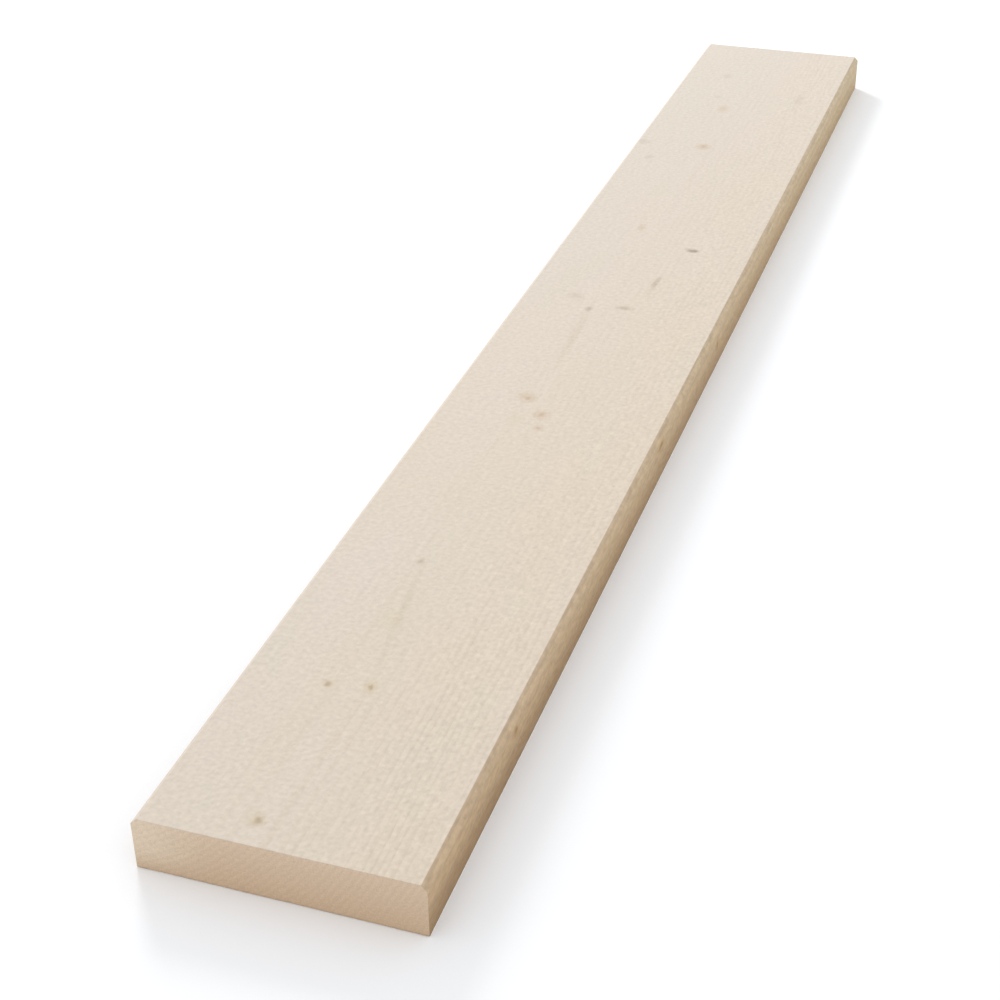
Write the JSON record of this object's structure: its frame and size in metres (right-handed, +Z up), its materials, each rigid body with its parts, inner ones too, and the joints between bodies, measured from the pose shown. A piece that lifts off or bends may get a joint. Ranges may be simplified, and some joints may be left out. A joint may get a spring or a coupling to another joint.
{
  "type": "timber plank",
  "caption": "Straight sawn softwood plank with chamfered upper arrises and square crosscut ends, for shelving, decking, boarding or general joinery.",
  "frame": {"origin": "under the middle of the plank, on the surface it lies on", "axes": "+Y along the length, +X across the width, +Z up through the thickness"},
  "size_m": [0.15, 1.2, 0.031],
  "materials": {
    "sawn_spruce": "bare fine-sawn softwood, matte"
  },
  "bodies": {
    "root": {"plank": "sawn_spruce"}
  },
  "joints": []
}
